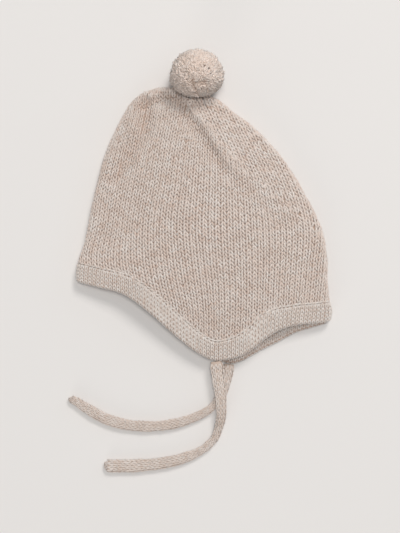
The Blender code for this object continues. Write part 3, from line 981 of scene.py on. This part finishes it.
# how far the valley's stitches are toned darker, as painted shade
FOLD_PAINTED_SHADE = 0.5
FAMILIES = (
    # wales in the table, table, first wale, end, row height, side of the divide: 1 left and -1 right
    (FAN_WALES, FAN, -27, 21, STITCH_ROW, 1),
    (SHOULDER_WALES, SHOULDER, -8, 16, SHOULDER_ROW, -1),
)


def right_of_divide(x, y):
    table = np.array(DIVIDE)
    return x - np.interp(y / PIXEL, table[::-1, 0], table[::-1, 1]) * PIXEL


def wale_stitches(x, y, far, row, side):
    """Walks every wale over the fabric. Returns places, outward and climb directions, and sizes."""
    across, down, found = find_on_fabric(x, y)
    around = 2 - across if far else across
    points = fabric(around, down)
    outs = outward(around, down, 0.008)
    seam = inside_rim(around, BAND_WIDTH + SEAM)
    inside = found & (down > STITCH_START) & (down < seam) & (side * right_of_divide(x, y) < FAMILY_OVERLAP)
    across_step = np.gradient(points, axis=1)
    made = []
    for k in range(x.shape[1]):
        line = points[:, k]
        walked = distance_along(line)
        start = walked[np.argmin(np.abs(down[:, k] - 0.6))]
        steps = start + (np.arange(-90, 90) + rng.uniform(0.35, 0.65)) * row * rng.normal(1, WALE_UNEVEN)
        steps = steps + rng.normal(0, STITCH_UNEVEN * row, len(steps))
        steps = steps[(steps > 0) & (steps < walked[-1])]
        nearest = np.clip(np.searchsorted(walked, steps), 1, len(walked) - 2)
        nearest = nearest[inside[nearest, k]]
        climb = unit(points[nearest - 1, k] - points[nearest + 1, k])
        gap = across_step[nearest, k]
        gap = gap - climb * np.sum(gap * climb, axis=1, keepdims=True)
        width = np.clip(np.linalg.norm(gap, axis=1), NARROWEST, WIDEST)
        thick = np.clip(width, NARROWEST, THICKEST)
        sizes = np.stack([width * 1.06, np.full(len(width), row), thick * 0.94], axis=1)
        made.append((line[nearest], outs[nearest, k], climb, sizes))
    return [np.concatenate(column) for column in zip(*made)]


def crown_stitches(name, far, seed):
    shift = 0.5 if far else 0.0
    parts = []
    for wales, table, first, end, row, side in FAMILIES:
        x, y = wale_lines(wales, table, first + shift, end)
        parts.append(wale_stitches(x, y, far, row, side))
    places, outs, climbs, sizes = [np.concatenate(column) for column in zip(*parts)]
    # Loops that face the surface are pressed in, so that they don't go through it.
    sunk = 0.00085 - 0.0003 * outs[:, 2:]
    climbs = climbs + rng.normal(0, CLIMB_UNEVEN, climbs.shape)
    # Painted shade: the lights here shade the valley less than the real fold is shaded, so its yarn is toned
    # a little darker.
    side, share = route_distance(VALLEY, places[:, 0] - SEAT[0], places[:, 1] - SEAT[1])
    darker = 0 if far else FOLD_PAINTED_SHADE * share * np.exp(-((side / VALLEY_WIDTH) ** 2))
    tone = np.clip(rng.normal(*TONE, len(places)) - darker, -1, 1)
    made = repeat(name, stitch, places - sunk * outs, outs, climbs, sizes, crown_yarn, tone, 0.08, seed)
    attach(made, "root")
    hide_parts("crown")
    return made


crown_stitches("crown_stitches_near", False, 4)
crown_stitches("crown_stitches_far", True, 9)

# %% [markdown]
# ## The edge band
# The band is picked up along the rim and folded, so its columns stand square to the rim and are finer than
# the crown's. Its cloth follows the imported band's section. Its stitches go down the outside, turn in under
# and go up the inside, where they show in the open mouth. A ridge of stitches lies along the seam.

# %% Make the band's cloth and stitches
BAND_STITCH = 0.0032
RIDGE_STITCH = 0.0030
BAND_DEPTH = 0.0034  # how far its stitches stand out at full size
RIDGE_WIDTH = 0.0040
PRESSED = 0.0006  # how far stitches that face the surface are sunk
BAND_SECTION = (
    # share of the band's width from the seam, and share of its thickness from its inner side
    (0.02, 0.05),
    (0.0, 0.6),
    (0.10, 0.8),
    (0.3, 0.82),
    (0.55, 0.82),
    (0.8, 0.8),
    (0.93, 0.72),
    (0.97, 0.5),
    (0.9, 0.2),
    (0.7, 0.05),
    (0.45, 0.0),
)
BAND_ROWS = (
    # the same two shares, for each row of stitches
    (0.09, 0.84),
    (0.28, 0.86),
    (0.47, 0.86),
    (0.66, 0.85),
    (0.84, 0.81),
    (0.96, 0.52),
    (0.82, 0.14),
    (0.64, 0.0),
    (0.45, -0.03),
    (0.26, 0.0),
)
BAND_STEPS = 400
BAND_MAP = (140, 0.8)  # stitches in the cloth's whole way round, and rows for each ring

band_around = np.linspace(0, 2, BAND_STEPS, endpoint=False)


def band_place(around, width_share, thickness_share):
    top = inside_rim(around, BAND_WIDTH)
    down = top + (rim_down(around) - top) * width_share
    normal = outward(around, down)
    proud = BAND_PROUD * (1 + normal[..., 2:]) / 2
    return fabric(around, down) + (proud - BAND_WALL * (1 - thickness_share)) * normal, normal


band_rings = [band_place(band_around, w, t)[0] for w, t in BAND_SECTION]
band_cloth = loop_mesh(
    "edge_band_cloth",
    band_rings,
    None,
    np.linspace(0, BAND_MAP[0], BAND_STEPS + 1),
    [i * BAND_MAP[1] for i in range(len(BAND_SECTION))],
    [under_cloth_painted_shade],
    len(BAND_SECTION),
)

fine = np.linspace(0, 2, 4001)
rim_line = band_place(fine, np.full(fine.shape, 0.6), 1.0)[0]
rim_walked = distance_along(rim_line)


def along_rim(stitch_width):
    """Places around the rim, a whole number of stitches of about this width."""
    columns = round(rim_walked[-1] / stitch_width)
    return np.interp((np.arange(columns) + 0.5) * rim_walked[-1] / columns, rim_walked, fine)


column_around = along_rim(BAND_STITCH)
grid = [band_place(column_around, w, t) for w, t in BAND_ROWS]
grid_places = np.stack([g[0] for g in grid])
grid_climb = unit(np.gradient(grid_places, axis=0))
grid_along = unit(np.roll(grid_places, -1, axis=1) - np.roll(grid_places, 1, axis=1))
grid_out = unit(np.cross(grid_climb, grid_along))
grid_out *= np.sign(np.sum(grid_out[2] * grid[2][1], axis=-1).mean())
row_gap = np.linalg.norm(np.gradient(grid_places, axis=0), axis=-1)
column_gap = np.linalg.norm(np.roll(grid_places, -1, axis=1) - grid_places, axis=-1)
column_gap = np.clip(column_gap, 0.0026, 0.0040) * 1.02
sizes = np.stack([column_gap, row_gap, np.full(row_gap.shape, BAND_DEPTH)], axis=-1)
grid_places -= PRESSED * np.maximum(-grid_out[..., 2:], 0) * grid_out
band_stitches = repeat(
    "edge_band_stitches",
    band_stitch,
    grid_places.reshape(-1, 3),
    grid_out.reshape(-1, 3),
    grid_climb.reshape(-1, 3),
    sizes.reshape(-1, 3),
    band_yarn,
    seed=12,
)

ridge_around = along_rim(RIDGE_STITCH)
ridge_places, ridge_out = band_place(ridge_around, np.full(ridge_around.shape, -0.02), 0.64)
ridge_along = np.roll(ridge_places, -1, axis=0) - np.roll(ridge_places, 1, axis=0)
ridge_step = np.linalg.norm(ridge_along, axis=1) / 2
ridge_same = np.ones(len(ridge_step))
ridge_sizes = np.stack([RIDGE_WIDTH * ridge_same, ridge_step, BAND_DEPTH * ridge_same], axis=1)
band_ridge = repeat(
    "edge_band_ridge", stitch, ridge_places, ridge_out, unit(ridge_along), ridge_sizes, band_yarn, seed=15
)
for piece in (band_cloth, band_stitches, band_ridge):
    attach(piece, "root")
    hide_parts("edge_band")

# %% [markdown]
# ## The pompom
# A pompom is hundreds of cut strands tied in the middle, trimmed to a ball. The ends show as small soft tufts
# that point outward and a little every way, so a short tapered strand is repeated over a ball that is
# flattened where it sits on the crown and pressed a little on the surface. In two clefts the strands lean
# apart, and the bottom of each cleft is bare. Strands in the clefts and in sunken clumps are toned darker:
# painted shade.

# %% Make the pompom
TUFTS = 5000
TUFT = (
    # across, out, radius
    (0.00, -1.00, 0.30),
    (0.10, -0.45, 0.44),
    (-0.04, -0.05, 0.50),
)
# Where the strands part, from the pompom's middle in plan: across and up, in metres
PARTINGS = (
    ((-0.0036, -0.0040), (-0.0030, -0.0085), (0.0004, -0.0140)),
    ((-0.0012, -0.0078), (0.0030, -0.0064), (0.0064, -0.0062)),
)
PARTING_WIDTH = 0.0016
PARTING_DEPTH = 0.0040
BARE = 0.7  # a strand parted more than this is left out
TUFT_SIDES = 5
BALL_TRIM = 0.0012  # the strands' ends, inside the ball
BALL_UNEVEN = 0.0005
CLUMPS = 7  # waves that draw the strands into clumps
CLUMP_DEPTH = 0.0012
CORE_INSIDE = 0.0054


def squashed(place):
    """Flattens the side that presses on the crown."""
    place[:, 1] = np.where(place[:, 1] < 0, place[:, 1] * POMPOM_SQUASH, place[:, 1])
    return place


def tuft_shape(name):
    line = [(across, 0.0, out) for across, out, radius in TUFT]
    points, faces, corners = swept(line, [row[2] for row in TUFT], TUFT_SIDES, up=(0, 1, 0))
    # The material paints shade by this crest, so each strand darkens towards its root.
    crest = np.interp(np.array(points)[:, 2], (-0.6, 0.0), (0.0, 1.0))
    return mesh_piece(name, points, faces, corners, crest)


tuft = tuft_shape("tuft")
radius = POMPOM_DIAMETER / 2
middle = SEAT + np.array((0, POMPOM_OUT, radius - POMPOM_PRESS))
count = np.arange(TUFTS) + 0.5
rise = 1 - 2 * count / TUFTS
spin = count * math.pi * (3 - math.sqrt(5))
flat = np.sqrt(1 - rise**2)
aim = np.stack([flat * np.cos(spin), flat * np.sin(spin), rise], axis=1)
aim = unit(aim + rng.normal(0, 0.02, aim.shape))


def on_pompom(aim, reach):
    place = squashed(aim * reach[:, None]) + middle
    place[:, 2] = np.maximum(place[:, 2], POMPOM_PRESS)
    return place


reach = radius - BALL_TRIM + rng.normal(0, BALL_UNEVEN, TUFTS)
clump = np.zeros(TUFTS)
for _ in range(CLUMPS):
    clump += np.sin(aim @ (unit(rng.normal(0, 1, 3)) * rng.uniform(9, 17)) + rng.uniform(0, 6.3))
clump = np.clip(clump / 4, -1, 1)
reach -= CLUMP_DEPTH * np.maximum(-clump, 0)
first_places = on_pompom(aim, reach) - middle
parted = np.zeros(TUFTS)
push = np.zeros(aim.shape)
for cleft in PARTINGS:
    cleft = np.array(cleft)
    line = read_between(np.linspace(0, len(cleft) - 1, 40), np.arange(len(cleft)), cleft)
    away = first_places[:, None, :2] - line
    nearest = np.argmin(np.sum(away**2, axis=2), axis=1)
    away = away[np.arange(TUFTS), nearest]
    near = np.exp(-np.sum(away**2, axis=1) / PARTING_WIDTH**2) * (first_places[:, 2] > 0)
    parted = np.maximum(parted, near)
    push[:, :2] += unit(away) * near[:, None]
reach -= PARTING_DEPTH * parted
tuft_places = on_pompom(aim, reach)
kept = parted < BARE
tuft_aim = aim + 0.35 * push + rng.normal(0, 0.24, aim.shape)
tuft_aim[:, 2] += 0.3 * np.clip(-aim[:, 1], 0, 1) * (aim[:, 2] > -0.2)
tuft_aim = unit(tuft_aim)
# The tone follows the clumps, darker where they sink: partly tone that varies, partly painted shade. Strands
# in a cleft are toned darker still: painted shade.
tuft_tone = np.clip(0.5 + 0.35 * clump - 0.8 * parted + rng.normal(0, 0.3, TUFTS), -1, 1)
tuft_climb = unit(np.cross(tuft_aim, rng.normal(0, 1, aim.shape)))
thick = rng.uniform(0.0012, 0.0017, TUFTS)
tuft_sizes = np.stack([thick, thick, rng.uniform(0.005, 0.007, TUFTS)], axis=1)
tuft_table = [column[kept] for column in (tuft_places, tuft_aim, tuft_climb, tuft_sizes)]
pompom_tufts = repeat("pompom_tufts", tuft, *tuft_table, pompom_yarn, tuft_tone[kept], 0.1, 21)

ball = bmesh.new()
bmesh.ops.create_icosphere(ball, subdivisions=4, radius=radius - CORE_INSIDE)
core_points = squashed(np.array([v.co for v in ball.verts]))
core_faces = [tuple(v.index for v in f.verts) for f in ball.faces]
ball.free()
core_corners = [(core_points[i][0] * 300, core_points[i][2] * 300) for f in core_faces for i in f]
pompom_core = mesh_piece("pompom_core", core_points + middle, core_faces, core_corners, materials=[tie_cloth])
for piece in (pompom_tufts, pompom_core):
    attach(piece, "root")
    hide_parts("pompom")

for helper in (stitch, band_stitch, tuft):
    bpy.data.objects.remove(helper)

# %% [markdown]
# ## Studio
# The bonnet lies on a pale matt sheet. One large soft light comes from above and to the top right, so the
# shadows fall softly down and to the left, and another is nearly overhead. A weak cool light rims the right
# side, and a low fill keeps the lower edges from going dark.

# %% Make the floor and the lights
floor_mesh = bpy.data.meshes.new("pale_floor")
floor_mesh.from_pydata([(-3, -3, 0), (3, -3, 0), (3, 3, 0), (-3, 3, 0)], [], [(0, 1, 2, 3)])
floor = put_in_scene("pale_floor", floor_mesh)
floor_material, _, paper = new_material("pale_paper", 0.9, 0.2)
paper.inputs["Base Color"].default_value = (0.81, 0.778, 0.757, 1)
floor_mesh.materials.append(floor_material)
floor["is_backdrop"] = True

LIGHTS = (
    # name, place, size, power, colour
    ("key", (1.32, 2.70, 3.01), 1.5, 76, (1.0, 0.975, 0.95)),
    ("overhead", (0.20, 0.42, 4.25), 1.2, 68, (1.0, 0.985, 0.97)),
    ("rim", (2.7, 1.4, 1.0), 1.2, 6, (0.62, 0.82, 1.0)),
    ("fill", (-1.2, -2.8, 0.9), 1.5, 15, (1.0, 0.98, 0.96)),
)
for name, place, size, power, colour in LIGHTS:
    light = bpy.data.lights.new(name, "AREA")
    light.shape = "DISK"
    light.size = size
    light.energy = power
    light.color = colour
    lamp = put_in_scene(name, light)
    lamp.location = place
    lamp.rotation_euler = (-Vector(place)).to_track_quat("-Z", "Y").to_euler()

world = bpy.data.worlds.new("studio")
world.use_nodes = True
sky = world.node_tree.nodes["Background"]
sky.inputs["Color"].default_value = (0.93, 0.98, 1.0, 1)
sky.inputs["Strength"].default_value = 0.30
bpy.context.scene.world = world
bpy.context.scene.view_settings.view_transform = "Standard"

# %% [markdown]
# ## Finish
# The visual model's box is printed beside the imported one.

# %% Measure and finish
visual_box = [list(corner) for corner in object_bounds()]
for label, box in (("cad", cad_box), ("visual", visual_box)):
    print(label, [[round(v * 1000, 1) for v in corner] for corner in box])
